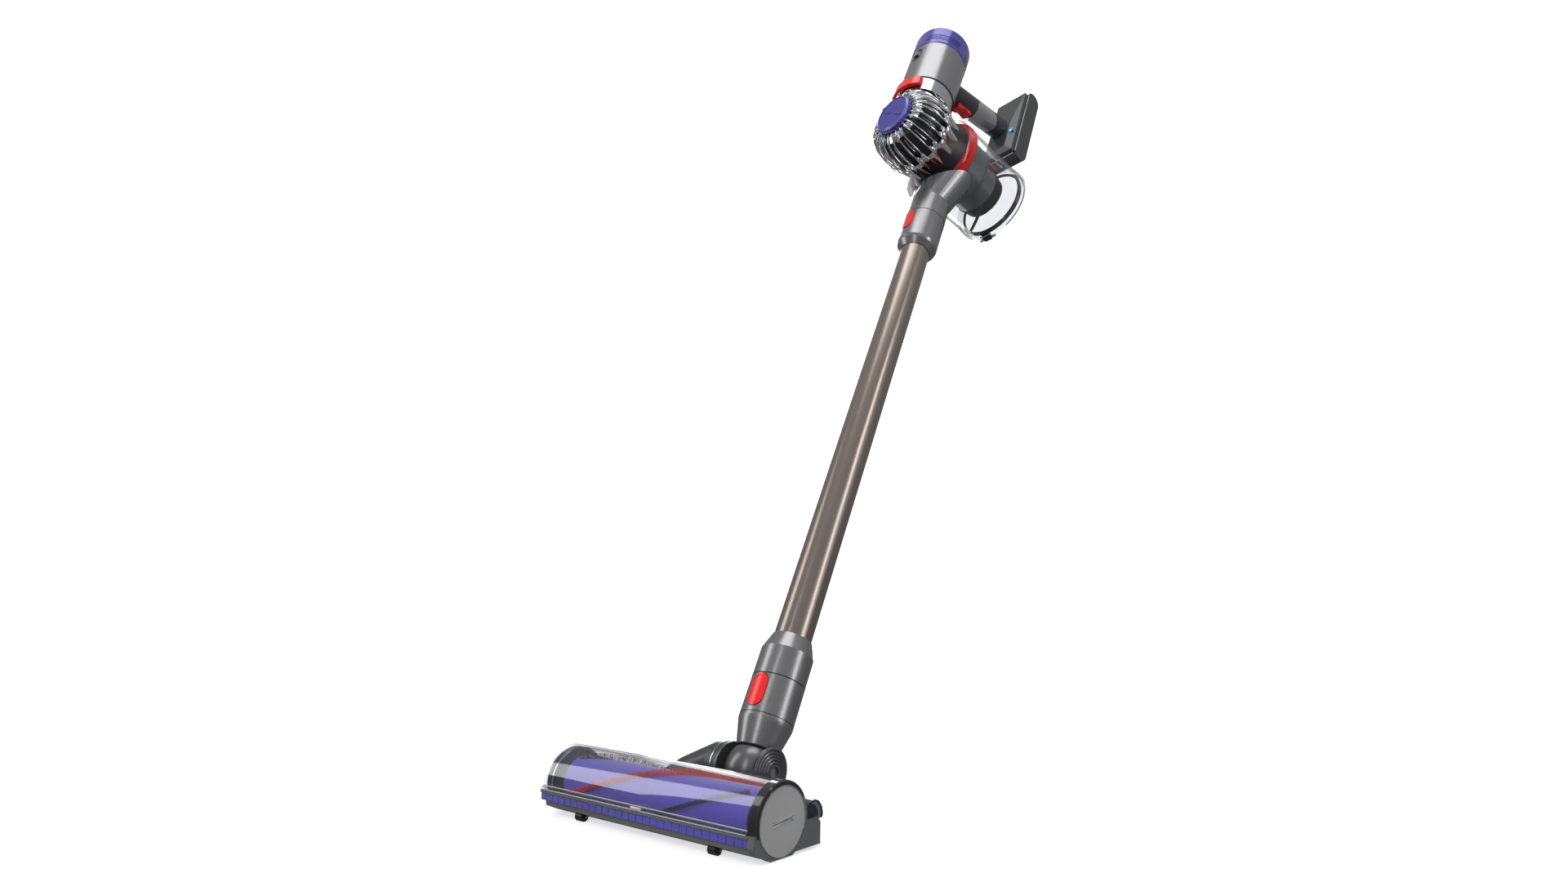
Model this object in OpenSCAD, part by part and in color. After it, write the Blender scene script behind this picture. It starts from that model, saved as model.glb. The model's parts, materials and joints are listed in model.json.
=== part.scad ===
// Cordless stick vacuum: floor head with a driven brush bar, swivelling neck, wand, and a
// hand-held unit with cyclones, bin, motor, handle and battery. Millimetres, +Z up.
// Origin: on the floor, at mid width, under the brush bar axis. +X is the head's right end,
// -Y its front, +Y the user's side. Parts above the elbow are drawn in the wand's own frame:
// z runs up the wand from the elbow centre and -y is the side with the two red buttons.

/* [Stance] */
// Backward lean of the wand, degrees
wand_lean = 28.3; // [15:0.1:40]
// Sideways lean of the wand, degrees
wand_side = -3.2; // [-6:0.1:6]
// Turn of the wand about its own axis, degrees
wand_twist = -9; // [-20:0.5:20]

/* [Floor head] */
// Width of the head over both end faces
head_w = 250; // [240:1:270]
// Height of the brush bar axis
brush_z = 26.3; // [26:0.1:28]
// Outer radius of the clear cover
cover_r = 28.1; // [27.8:0.1:28.4]
// Radius of the round end cap
disc_r = 24.3; // [23:0.1:24.6]
// Radius of the bare brush bar
core_r = 20.5; // [20:0.1:21]
// Radius at the bristle tips
bristle_r = 25.6; // [24:0.1:25.8]
// Length of one full turn of the bristle helix
bristle_pitch = 432; // [360:1:500]
// Depth of the head, from the brush axis to its back
head_back = 44; // [43:1:46]

/* [Neck] */
// Distance of the tilt axis behind the brush axis
elbow_y = 97.4; // [96:0.1:99]
// Height of the tilt axis
elbow_z = 34; // [33:0.1:36]
// Radius of the elbow ball
ball_r = 24; // [23.5:0.1:24.2]
// Outer radius of the neck and of both wand collars
collar_r = 25.7; // [25:0.1:26.5]

/* [Wand] */
// Radius of the wand tube
tube_r = 18.5; // [18:0.1:19]
// Joint between neck and wand, from the elbow centre
seam_low = 80.6; // [80.5:0.1:82]
// Top of the lower collar
collar_top = 124; // [120:1:130]
// Bottom lip of the upper collar
lip_z = 655; // [640:1:670]
// Joint between wand and hand-held unit
seam_high = 712; // [708:1:716]

/* [Bin and cyclones] */
// Height of the bin axis along the wand
bin_z = 836; // [834:1:838]
// Upward tilt of the bin axis, degrees
bin_tilt = 8.7; // [8:0.1:9.5]
// Outer radius of the bin
bin_r = 56; // [55.5:0.1:56.5]
// Distance of the bin door from the wand axis
bin_len = 104; // [102:1:106]
// Number of cyclone cones in the ring
cone_count = 15; // [12:1:16]

/* [Motor and handle] */
// Distance of the motor axis in front of the wand axis
motor_y = -61.5; // [-63:0.5:-60]
// Radius of the motor housing
motor_r = 39; // [38:0.1:39.5]
// Joint between motor housing and filter cap
cap_z = 976; // [972:1:980]
// Upward tilt of the handle, degrees
handle_tilt = 20; // [18:0.5:22]
// Radius of the handle
handle_r = 16; // [15.5:0.1:16.5]

/* [Battery] */
// Width of the battery
battery_w = 60; // [56:1:62]
// Length of the battery along the wand
battery_len = 150; // [140:1:156]

/* [Hidden] */
$fn = 72;
gap = 0.4;          // running gap between neighbouring bodies
fit = 0.05;         // radial clearance of a shaft in its bore
eps = 0.02;         // overlap of shapes inside one solid

// head
half_w = head_w / 2;
end_t = 6;                          // thickness of the end plates
brush_left = -106;
brush_right = 108;
cover_t = 1.6;
chamber_x = 110;                    // half length of the brush chamber in the sole
floor_gap = 0.8;                    // lowest point of the end plate
strip_z = 12.6;                     // bottom and top of the soft strip
strip_top = 18;
sole_z = 2.6;                       // underside of the sole
screw_x = 90;
screw_y = 38;
roller_r = 4;
roller_x = 78;
roller_y = -21.5;
wheel_r = 6.5;
wheel_x = 60;
wheel_y = 34;
pin_r = 5;
socket_r = 15.6;                    // swivel spigot on the elbow
elbow_x = 1.5;
elbow_left = -23;                   // flats of the ball, from its centre
elbow_right = 17;
duct_r = 20;
red_top = 34;                       // where each pair of strips crosses the top of the brush bar
black_top = -74;

// neck and collars
neck_low = 44.2;
bore_r = tube_r + 0.5;
button_w = 17;
button_len = 31;
low_button_z = 64;                  // button centres, and their turn about the wand
low_button_turn = 12;
high_button_z = 695;
high_button_turn = -4;
button_travel = 2;

// hand-held unit
pack_r = 51;                        // widest radius of the cyclones
collar_back = 2;
door_t = 6;
pin_small = 1.6;                    // radius of the door's hinge pin
motor_foot = 872;
housing_foot = 897;
cap_top = 1015;
handle_z = 968;                     // handle axis where it crosses the wand axis
handle_back = 84;
battery_y = 88;
battery_t = 25;
battery_low = 938;
light_r = 1.6;

module head_round(r, x0, x1)
    translate([x0, 0, brush_z]) rotate([0, 90, 0]) cylinder(r = r, h = x1 - x0);
module along_x(x0, x1)
    translate([x0, 0, 0]) rotate([90, 0, 90]) linear_extrude(x1 - x0) children();
module box(a, b)
    translate(a) cube(b - a);
module wand_frame()
    translate([elbow_x, elbow_y, elbow_z]) rotate([-wand_lean, wand_side, 0])
        rotate([0, 0, wand_twist]) children();
module bin_frame()
    wand_frame() translate([0, 0, bin_z]) rotate([bin_tilt - 90, 0, 0]) children();
module handle_frame()
    wand_frame() translate([0, 0, handle_z]) rotate([handle_tilt - 90, 0, 0]) children();
module tube(r1, r2, z0, z1) translate([0, 0, z0]) difference() {
    cylinder(r = r1, h = z1 - z0);
    translate([0, 0, -1]) cylinder(r = r2, h = z1 - z0 + 2);
}
// straight-sided oval prism facing -y, from y0 to y1
module oval(w, len, z, y0, y1) {
    for (s = [-1, 1]) translate([0, y1, z + s * (len - w) / 2]) rotate([90, 0, 0])
        cylinder(d = w, h = y1 - y0);
    box([-w / 2, y0, z - (len - w) / 2], [w / 2, y1, z + (len - w) / 2]);
}
// coil spring drawn as tilted rings that touch at alternate sides
module coil(r, wire, pitch, rings) {
    tilt = asin(pitch / 2 / r);
    for (k = [0:rings - 1]) translate([0, 0, wire + pitch * (k + 0.5)])
        rotate([0, k % 2 == 0 ? tilt : -tilt, 0])
            rotate_extrude($fn = 24) translate([r, 0]) circle(r = wire, $fn = 10);
}
module turned(angle) rotate([0, 0, angle]) children();

// ---------------------------------------------------------------- floor head
module sole_section()
    polygon([[-28.2, strip_z], [-27.6, 8], [-15.2, sole_z], [head_back, sole_z],
        [head_back, 8], [-21, 8], [-24.4, strip_z]]);
module wheel_wells() for (s = [-1, 1]) {
    translate([s * roller_x, roller_y, roller_r]) rotate([0, 90, 0])
        cylinder(r = roller_r + 1.6, h = 9, center = true);
    box([s * wheel_x - 6, wheel_y - 8, -1], [s * wheel_x + 6, wheel_y + 8, 15]);
}
module sole_plate() color("dimgray") difference() {
    along_x(-half_w + end_t, half_w - end_t) sole_section();
    box([-104, -13, 0], [104, 15, 9]);
    head_round(cover_r + 0.1, -chamber_x, chamber_x);
    wheel_wells();
    axles_shape(0);
    for (s = [-1, 1]) translate([s * screw_x, screw_y, 0]) cylinder(r = 3, h = sole_z + 3);
}
module soft_strip() color("slateblue") difference() {
    box([-half_w + 2, -30, strip_z], [half_w - end_t, -24.6, strip_top]);
    for (k = [0:28]) translate([-half_w + 9 + k * 8.2, -30.6, strip_z - 1]) cube([0.8, 1.2, 8]);
}
module bumper() color("gray") along_x(-half_w + 1.5, half_w - end_t)
    polygon([[-29.6, strip_top], [-31, 18.8], [-31, 20.2], [-30.2, 20.8], [-26, 20.8], [-26, strip_top]]);
module clear_cover() color([0.9, 0.93, 0.97, 0.35]) {
    difference() {
        head_round(cover_r, -half_w + 1, half_w - end_t - 1);
        head_round(cover_r - cover_t, -half_w + 2.6, half_w);
        box([-half_w - 1, -40, -20], [half_w, 40, 21]);
        box([-half_w - 1, 23.5, 0], [half_w, 40, 40]);
    }
    along_x(-half_w + 1, half_w - end_t - 1)
        polygon([[-30.6, 21], [-30.6, 22.6], [-27.9, 24], [-26.2, 24], [-26.2, 21]]);
}
module end_outline() {
    translate([0, brush_z]) circle(r = cover_r - 2.6);
    polygon([[-24.2, 13], [-24, 8.4], [-14, 8.2], [head_back, 8.2], [head_back, 19], [42, 20.8],
        [24, 23], [-24.2, 18]]);
}
module left_end_plate() color("gray") difference() {
    along_x(-half_w + 3, -half_w + end_t - gap / 2) end_outline();
    head_round(4 + fit, -half_w, -half_w + end_t);
}
module right_outline() {
    difference() {
        translate([0, brush_z]) circle(r = cover_r);
        translate([-half_w, floor_gap - head_w]) square(head_w);
    }
    polygon([[-30, 21], [-30.4, 12.6], [-27.6, 8], [-15.2, sole_z], [head_back, sole_z], [head_back, 18.6],
        [42, 20.8], [27, 22]]);
}
module right_end_plate() color("gray") difference() {
    along_x(half_w - end_t + 0.01, half_w - 0.6) right_outline();
    head_round(disc_r + 0.3, half_w - 3, half_w + 1);
    head_round(4.1, half_w - end_t - 1, half_w);
}
module end_cap() color("silver") difference() {
    union() {
        head_round(disc_r, half_w - 2.8, half_w);
        head_round(4.05, half_w - end_t + 1, half_w - 2);
    }
    box([half_w - 1.2, -11, brush_z - 1], [half_w + 1, 11, brush_z + 1]);
}
module rear_housing() color("gray") difference() {
    along_x(-half_w + end_t, half_w - end_t)
        polygon([[24, 8.1], [head_back, 8.1], [head_back, 19], [42, 20.8], [30, 28], [24, 36], [23.7, 36]]);
    head_round(cover_r + 0.1, -half_w, half_w);
    wheel_wells();
    axles_shape(0);
    box([94, 30, 18.4], [head_w, 60, 40]);
}
module rear_window() color([0.2, 0.24, 0.32, 0.8]) difference() {
    along_x(94.2, half_w - end_t - 1) {
        polygon([[30.2, 18.6], [52.5, 18.6], [53.4, 22], [52, 27], [48.5, 31], [44, 32.6], [38, 31],
            [32, 27.6], [30.2, 26.6]]);
    }
    head_round(cover_r + 0.2, 90, half_w);
    along_x(96, half_w - end_t - 2.6)
        polygon([[33, 20], [50.5, 20], [50.6, 24], [47, 29], [43, 30.4], [36, 27]]);
}
module axles_shape(grow) {
    for (s = [-1, 1]) translate([s * roller_x, roller_y, roller_r]) rotate([0, 90, 0])
        cylinder(r = 1 + grow, h = 13, center = true);
    for (s = [-1, 1]) translate([s * wheel_x, wheel_y, wheel_r]) rotate([0, 90, 0])
        cylinder(r = 1.5 + grow, h = 16, center = true);
}
module axles() color("silver") axles_shape(0);
module roller(x) translate([x, roller_y, roller_r]) rotate([0, 90, 0]) difference() {
    cylinder(r = roller_r, h = 8, center = true);
    cylinder(r = 1 + fit, h = 10, center = true);
}
module front_rollers() color("black") for (s = [-1, 1]) roller(s * roller_x);
module wheel(x) translate([x, wheel_y, wheel_r]) rotate([0, 90, 0]) difference() {
    cylinder(r = wheel_r, h = 9, center = true);
    cylinder(r = 1.5 + fit, h = 11, center = true);
}
module rear_wheels() color("black") for (s = [-1, 1]) wheel(s * wheel_x);

// ---------------------------------------------------------------- brush bar
module helix(top_x) {
    span = brush_right - brush_left - 8;
    start = 180 + 360 * (top_x - brush_left - 4) / bristle_pitch;
    translate([brush_left + 4, 0, brush_z]) rotate([0, 90, 0])
        for (side = [0, 180]) rotate([0, 0, start + side])
            linear_extrude(span, twist = 360 * span / bristle_pitch, slices = 24, segments = 4)
                translate([core_r + eps, -1.6]) square([bristle_r - core_r - eps, 3.2]);
}
module brush_core() color("slateblue") difference() {
    head_round(core_r, brush_left, brush_right);
    head_round(core_r - 4, brush_left + 8, brush_right + 1);
    head_round(4 + fit, brush_left - 1, brush_left + 9);
}
module red_bristles() color("red") helix(red_top);
module black_bristles() color([0.1, 0.1, 0.1]) helix(black_top);
module brush_bearing() color("silver") {
    head_round(4, -half_w + 3.4, brush_left + 7);
    head_round(9, -half_w + end_t, brush_left - 1);
}
module brush_motor() color("dimgray") {
    head_round(5.6, -62, -40);
    head_round(15, -40, 104);
    head_round(18, brush_right + 0.6, half_w - end_t);
    head_round(12, 103, brush_right + 1);
}
module drive_dog() color("silver") difference() {
    head_round(core_r - 4, -60, -50);
    head_round(6, -61, -49);
}

// ---------------------------------------------------------------- elbow and neck
module pivot(r, x0, x1)
    translate([elbow_x + x0, elbow_y, elbow_z]) rotate([0, 90, 0]) cylinder(r = r, h = x1 - x0);
module duct_bend() translate([-66, 86, 24.5]) sphere(r = 15, $fn = 32);
module pivot_duct() color("dimgray") difference() {
    union() {
        pivot(duct_r, -40, elbow_left - 1);
        hull() {
            pivot(duct_r, -41, -40, $fn = 32);
            duct_bend();
        }
        hull() {
            duct_bend();
            box([-82, head_back + 0.1, 9], [-50, head_back + 2, 20]);
        }
    }
    pivot(pin_r + fit, -36.1, -20);
    box([-200, 0, -10], [0, head_back + 0.1, 60]);
}
module pivot_bracket() color("dimgray") difference() {
    union() {
        pivot(16, elbow_right + 0.6, 22);
        hull() {
            pivot(12, elbow_right + 2, 22, $fn = 32);
            box([20.5, head_back + 0.1, 9], [23.5, head_back + 2, 20]);
        }
    }
    pivot(pin_r + fit, 10, 34);
    box([0, 0, -10], [200, head_back + 0.1, 60]);
}
module pivot_cap() color("gray") difference() {
    union() {
        pivot(21, 22.05, 24);
        for (k = [0:4]) pivot(19 - 3 * k, 23.9, 24.8 + 0.8 * k);
    }
    pivot(pin_r + fit, 20, 29);
}
module pivot_pin() color("silver") pivot(pin_r, -36, 26);
module elbow() color("gray") difference() {
    union() {
        intersection() {
            translate([elbow_x, elbow_y, elbow_z]) sphere(r = ball_r, $fn = 96);
            pivot(ball_r + 1, elbow_left, elbow_right);
        }
        wand_frame() cylinder(r = socket_r, h = 40);
        intersection() {
            pivot(ball_r + 0.6, 11, elbow_right);
            wand_frame() box([-40, 3, -40], [40, 40, 15.6]);
        }
    }
    pivot(pin_r + fit, -30, 30);
    wand_frame() translate([0, 0, 9]) cylinder(r = 13, h = 40);
}
module neck() color("gray") wand_frame() rotate_extrude()
    polygon([[socket_r + fit, 19.2], [19.2, 16.6], [19.9, 17.4], [25.3, 38.6], [collar_r, 41],
        [collar_r, neck_low - 0.25], [22.6, neck_low - 0.25], [22.6, 46], [20, 46], [20, 38],
        [socket_r + fit, 38]]);
module neck_cuff() color("gray") wand_frame() difference() {
    tube(collar_r, bore_r, neck_low, seam_low - 0.25);
    translate([0, 0, neck_low - 1]) cylinder(r = 22.65, h = 2.9);
    turned(low_button_turn) oval(button_w + 1, button_len + 1, low_button_z, -40, -bore_r + 2);
}

// ---------------------------------------------------------------- wand
module wand_lower_collar() color("gray") wand_frame() {
    rotate_extrude()
        polygon([[tube_r, seam_low + 0.25], [collar_r, seam_low + 0.25], [collar_r, 108.4],
            [19.9, collar_top], [tube_r, collar_top]]);
}
module button(z) difference() {
    intersection() {
        oval(button_w, button_len, z, -40, -tube_r - 3);
        translate([0, 0, z - 40]) cylinder(r = collar_r + 0.9, h = 80, $fn = 96);
    }
    translate([0, -tube_r - 1, z]) rotate([90, 0, 0]) cylinder(r = 4.4, h = 6);
}
module button_spring(z)
    translate([0, -tube_r - 0.8, z]) rotate([90, 0, 0]) coil(3.2, 0.45, 1.1, 3);
module head_button() color("red") wand_frame() turned(low_button_turn) button(low_button_z);
module head_button_spring() color("silver") wand_frame() turned(low_button_turn)
    button_spring(low_button_z);
module wand_tube() color("tan") wand_frame() tube(tube_r - 0.02, tube_r - 1.3, 60, 730);
module wand_wires() color("black") wand_frame() translate([0, tube_r - 3.6, 62])
    cylinder(r = 2, h = 666, $fn = 24);
module wand_upper_collar() color("gray") wand_frame() difference() {
    rotate_extrude()
        polygon([[tube_r, lip_z], [19.1, lip_z], [collar_r - 1, lip_z + 7], [collar_r, lip_z + 11],
            [collar_r, seam_high - 0.25], [tube_r, seam_high - 0.25]]);
    turned(high_button_turn) oval(button_w + 1, button_len + 1, high_button_z, -40, -tube_r - 0.8);
}
module wand_button() color("red") wand_frame() turned(high_button_turn) button(high_button_z);
module wand_button_spring() color("silver") wand_frame() turned(high_button_turn)
    button_spring(high_button_z);

// ---------------------------------------------------------------- bin and cyclones
module bin_room(r)
    bin_frame() translate([0, 0, -130]) cylinder(r = r, h = 260, $fn = 96);
module inlet_duct() color("gray") difference() {
    wand_frame() union() {
        translate([0, 0, seam_high + 0.25]) cylinder(r = collar_r, h = 32);
        hull() {
            translate([0, 0, 743]) cylinder(r = collar_r, h = 1, $fn = 48);
            translate([14, 10, 806]) sphere(r = 30, $fn = 48);
        }
    }
    bin_room(bin_r + 2.7);
    wand_frame() {
        translate([0, 0, seam_high - 1]) cylinder(r = bore_r, h = 60);
        turned(high_button_turn) oval(button_w + 1, button_len + 1, high_button_z, -40, -bore_r + 2);
        translate([0, 0, 765]) rotate([-7, 0, 0]) cylinder(r = 17, h = 40);
    }
}
module bin_shell() color([0.9, 0.93, 0.95, 0.3]) bin_frame()
    tube(bin_r, bin_r - 2, collar_back + 0.2, bin_len);
module bin_door() color([0.9, 0.93, 0.95, 0.3]) bin_frame() difference() {
    union() {
        translate([0, 0, bin_len + gap]) cylinder(r = bin_r + 0.8, h = door_t);
        box([-12, bin_r - 4, bin_len + gap], [12, bin_r + 7.4, bin_len + 5]);
    }
    translate([0, 0, bin_len]) cylinder(r = bin_r - 5, h = 4);
    box([-6.4, bin_r + 1.4, bin_len - 1], [6.4, bin_r + 12, bin_len + 8]);
    hinge_round(pin_small + fit, 40);
}
module bin_seal() color([0.12, 0.12, 0.12]) bin_frame()
    tube(bin_r - 5.2, bin_r - 8, bin_len + gap, bin_len + 3);
module hinge_round(r, h)
    translate([0, bin_r + 5, bin_len + 2.4]) rotate([0, 90, 0]) cylinder(r = r, h = h, center = true);
module door_hinge_pin() color("silver") bin_frame() hinge_round(pin_small, 26);
module door_hinge() color([0.15, 0.15, 0.16]) bin_frame() difference() {
    union() {
        box([-6, bin_r - 0.2, bin_len - 8], [6, bin_r + 3.5, bin_len - 0.4]);
        box([-6, bin_r + 2.9, bin_len - 3], [6, bin_r + 7.4, bin_len + 5]);
    }
    translate([0, 0, -200]) cylinder(r = bin_r + eps, h = 400, $fn = 96);
    hinge_round(pin_small, 40);
}
module release_rod() color("red") bin_frame() difference() {
    box([-7, -bin_r - 4.5, 8], [7, -bin_r + 10, bin_len - 1]);
    translate([0, 0, -200]) cylinder(r = bin_r + gap, h = 400, $fn = 96);
    box([-4, -bin_r - 10, 20], [4, -bin_r - 3, 88]);
}
module shroud() color("gray") bin_frame() rotate_extrude()
    polygon([[28, 0.4], [49.6, 0.4], [49.6, 6], [46, 10], [46, 40], [36, 47], [34, 50], [34, 72],
        [31, 72], [31, 50], [28, 44]]);
module shroud_skirt() color([0.15, 0.15, 0.16]) bin_frame() rotate_extrude()
    polygon([[24, 72.1], [35, 72.1], [31, 90], [28.5, 90], [30.5, 75], [24, 75]]);
module cyclone_pack() color("silver") bin_frame() {
    rotate_extrude()
        polygon([[24.4, -92.5], [25, -97], [33, -99.5], [42, -95], [48.5, -84], [pack_r, -70],
            [50.5, -57], [47, -48], [40, -30], [36, -10.4], [27, -10.4], [24.4, -30]]);
    for (k = [0:cone_count - 1]) rotate([0, 0, 360 * (k + 0.5) / cone_count])
        translate([0, 41.5, -56]) cylinder(r1 = 9, r2 = 3, h = 42, $fn = 24);
}
module prefilter_cap() color("slateblue") bin_frame() {
    translate([0, 0, -106]) cylinder(r = 24, h = 13);
    translate([0, 0, -104.5]) cylinder(r = 27, h = 6);
}
module prefilter() color("white") bin_frame() tube(20, 14, -92.8, 20);
module cyclone_collar() color("red") bin_frame() {
    tube(bin_r - 3, 28, -10, 0);
    tube(bin_r + 0.4, bin_r - 6, -5, collar_back);
}
module release_tab() color("red") wand_frame() intersection() {
    translate([0, motor_y, 0]) tube(motor_r + 5, motor_r + 0.5, 876, 891);
    box([-24, -130, 870], [24, motor_y - 25, 904]);
}

// ---------------------------------------------------------------- motor unit
module motor_round(r, z0, z1) wand_frame() translate([0, motor_y, z0]) cylinder(r = r, h = z1 - z0);
module motor_bucket() color("silver") difference() {
    motor_round(motor_r - 1, motor_foot, housing_foot - 0.1);
    motor_round(motor_r - 4, motor_foot + 8, housing_foot + 1);
    bin_room(pack_r + 0.8);
}
module motor_housing() color("gray") difference() {
    motor_round(motor_r, housing_foot, cap_z - gap);
    motor_round(motor_r - 2.6, housing_foot - 1, cap_z + 1);
    wand_frame() translate([0, motor_y, 956]) box([-4, -60, -9], [4, -30, 9]);
}
module filter_cap() color("slateblue") difference() {
    wand_frame() translate([0, motor_y, 0]) rotate_extrude() polygon(concat(
        [[0, cap_z], [motor_r, cap_z], [motor_r + 0.4, cap_z + 2]],
        [for (a = [0:10:90]) [motor_r - 5.6 + 6 * cos(a), cap_top - 6 + 6 * sin(a)]],
        [[0, cap_top]]));
    motor_round(motor_r - 3, cap_z - 1, cap_top - 5);
    for (k = [0:3]) wand_frame() translate([0, motor_y, cap_z + 4 + 3.4 * k]) difference() {
        cylinder(r = motor_r + 3, h = 1.2);
        translate([0, 0, -1]) cylinder(r = motor_r - 0.4, h = 4);
        box([-60, -60, -1], [60, 12, 4]);
    }
}
module postfilter() color("white") motor_round(motor_r - 3.2, cap_z + 2, cap_top - 5.2);
module motor() color("dimgray") difference() {
    motor_round(27, 920, 962);
    motor_round(4, 900, 980);
    difference() {
        motor_round(28, 940, 944);
        motor_round(22, 939, 945);
    }
}
module impeller() color("silver") wand_frame() translate([0, motor_y, 0]) {
    translate([0, 0, 902]) cylinder(r = 3.95, h = 62);
    translate([0, 0, 903]) cylinder(r1 = 24, r2 = 10, h = 12);
    for (k = [0:8]) rotate([0, 0, 40 * k]) box([3, -0.8, 903], [26, 0.8, 909]);
}
module power_slider() color("silver") wand_frame() translate([0, motor_y - motor_r, 958]) {
    box([-3.6, -1.6, -5], [3.6, 4.6, 4]);
}

// ---------------------------------------------------------------- handle and battery
module handle() color("dimgray") difference() {
    handle_frame() difference() {
        translate([0, 0, -60]) cylinder(r = handle_r, h = 60 + handle_back);
        translate([0, 0, -61]) cylinder(r = handle_r - 3, h = 55 + handle_back);
        box([-7.5, 4, -20], [7.5, 30, 10]);
    }
    motor_round(motor_r + 0.05, 860, cap_z - gap);
    motor_round(motor_r + 1, cap_z - gap - eps, 1040);
    wand_frame() box([-60, -200, 800], [60, motor_y, 1100]);
    wand_frame() box([-60, battery_y - 5.05, 880], [60, 200, 1140]);
}
module trigger() color("red") handle_frame() difference() {
    intersection() {
        box([-7, 8, -19], [7, handle_r + 5, 9]);
        translate([0, 0, -20]) cylinder(r = handle_r + 6, h = 60);
    }
    translate([0, handle_r + 12, -4]) rotate([0, 90, 0]) cylinder(r = 10, h = 20, center = true);
}
module battery_dock() color("gray") wand_frame() difference() {
    hull() {
        translate([0, battery_y - 5, 0]) box([-17, 0, 950], [17, 1, 1005]);
        box([-battery_w / 2 + 6, battery_y, battery_low + 4],
            [battery_w / 2 - 2, battery_y + 6, battery_low + battery_len - 12]);
    }
    light_round(light_r + 0.1);
}
module battery_outline(w, t, z0, z1) {
    r = t / 2 - 0.01;
    for (z = [z0 + r, z1 - r]) translate([-w / 2, 0, z]) rotate([0, 90, 0]) cylinder(r = r, h = w);
    box([-w / 2, -t / 2, z0 + r], [w / 2, t / 2, z1 - r]);
}
module battery_pack() color("dimgray") wand_frame() difference() {
    translate([0, battery_y + 6.1 + battery_t / 2, 0])
        battery_outline(battery_w, battery_t, battery_low, battery_low + battery_len);
    box([-200, 0, 0], [200, battery_y + 6.1, 2000]);
    translate([0, 200, battery_low + 30]) rotate([90, 0, 0])
        cylinder(r = 4, h = 200 - battery_y - battery_t + 6);
}
module light_round(r)
    translate([battery_w / 2 - 9, battery_y + 3, 985]) rotate([90, 0, 0]) cylinder(r = r, h = 7);
module charge_light() color("deepskyblue") wand_frame() light_round(light_r);
module screws() color("silver") for (s = [-1, 1]) translate([s * screw_x, screw_y, sole_z])
    cylinder(r = 3, h = 3);

sole_plate();
soft_strip();
bumper();
clear_cover();
left_end_plate();
right_end_plate();
end_cap();
rear_housing();
rear_window();
front_rollers();
rear_wheels();
axles();
brush_core();
red_bristles();
black_bristles();
brush_bearing();
brush_motor();
drive_dog();
pivot_duct();
pivot_bracket();
pivot_cap();
pivot_pin();
elbow();
neck();
neck_cuff();
wand_lower_collar();
head_button();
head_button_spring();
wand_tube();
wand_wires();
wand_upper_collar();
wand_button();
wand_button_spring();
inlet_duct();
bin_shell();
bin_door();
bin_seal();
door_hinge();
door_hinge_pin();
release_rod();
shroud();
shroud_skirt();
cyclone_pack();
prefilter_cap();
prefilter();
cyclone_collar();
release_tab();
motor_bucket();
motor_housing();
filter_cap();
postfilter();
motor();
impeller();
power_slider();
handle();
trigger();
battery_dock();
battery_pack();
charge_light();
screws();
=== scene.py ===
"""Looks for the cordless stick vacuum: camera, light, floor, materials and the pieces that CAD keeps plain."""

import json
import math
import random

import bmesh
import bpy
from mathutils import Matrix, Vector

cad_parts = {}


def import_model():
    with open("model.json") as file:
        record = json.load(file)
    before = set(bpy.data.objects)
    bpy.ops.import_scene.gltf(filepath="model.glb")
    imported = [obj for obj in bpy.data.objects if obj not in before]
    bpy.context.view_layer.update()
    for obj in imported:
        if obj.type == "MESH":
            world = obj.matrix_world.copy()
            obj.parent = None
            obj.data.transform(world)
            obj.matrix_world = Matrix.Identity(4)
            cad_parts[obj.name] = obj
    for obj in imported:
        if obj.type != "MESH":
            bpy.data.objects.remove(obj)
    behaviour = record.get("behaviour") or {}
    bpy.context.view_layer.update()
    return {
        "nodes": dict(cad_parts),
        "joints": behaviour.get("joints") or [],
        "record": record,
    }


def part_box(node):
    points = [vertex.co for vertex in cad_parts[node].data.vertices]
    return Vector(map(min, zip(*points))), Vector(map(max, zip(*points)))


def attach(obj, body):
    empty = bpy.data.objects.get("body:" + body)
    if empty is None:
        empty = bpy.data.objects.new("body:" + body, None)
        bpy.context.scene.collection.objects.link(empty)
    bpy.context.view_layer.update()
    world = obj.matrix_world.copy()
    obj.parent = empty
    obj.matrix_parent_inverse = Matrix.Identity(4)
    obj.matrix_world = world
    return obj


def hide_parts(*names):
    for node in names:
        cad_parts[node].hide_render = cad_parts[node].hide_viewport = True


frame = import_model()
NODES = frame["nodes"]
JOINTS = {j["name"]: j for j in frame["joints"]}
MOUNTS = {m["name"]: m for m in frame["record"]["mounts"]}
MM = 0.001


# ------------------------------------------------------------ frames read from the record
def axes(origin, x, y, z):
    """A matrix that takes local coordinates to the row frame."""
    m = Matrix.Identity(4)
    for column, v in enumerate((x, y, z, origin)):
        for row in range(3):
            m[row][column] = v[row]
    return m


def joint_axis(name):
    return Vector(JOINTS[name]["axis"])


def joint_pos(name):
    return Vector(JOINTS[name]["pos_m"])


WAND_UP = -joint_axis("wand_pull")
RIGHT = -joint_axis("bin_door_open")
BACK = WAND_UP.cross(RIGHT)
ELBOW = joint_pos("neck_tilt")
WAND = axes(ELBOW, RIGHT, BACK, WAND_UP)

BIN_Z = -joint_axis("prefilter_pull")
BIN_Y = BIN_Z.cross(RIGHT)
HINGE_Y, HINGE_Z = 61 * MM, 106.4 * MM
BIN = axes(joint_pos("bin_door_open") - HINGE_Y * BIN_Y - HINGE_Z * BIN_Z, RIGHT, BIN_Y, BIN_Z)

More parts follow.
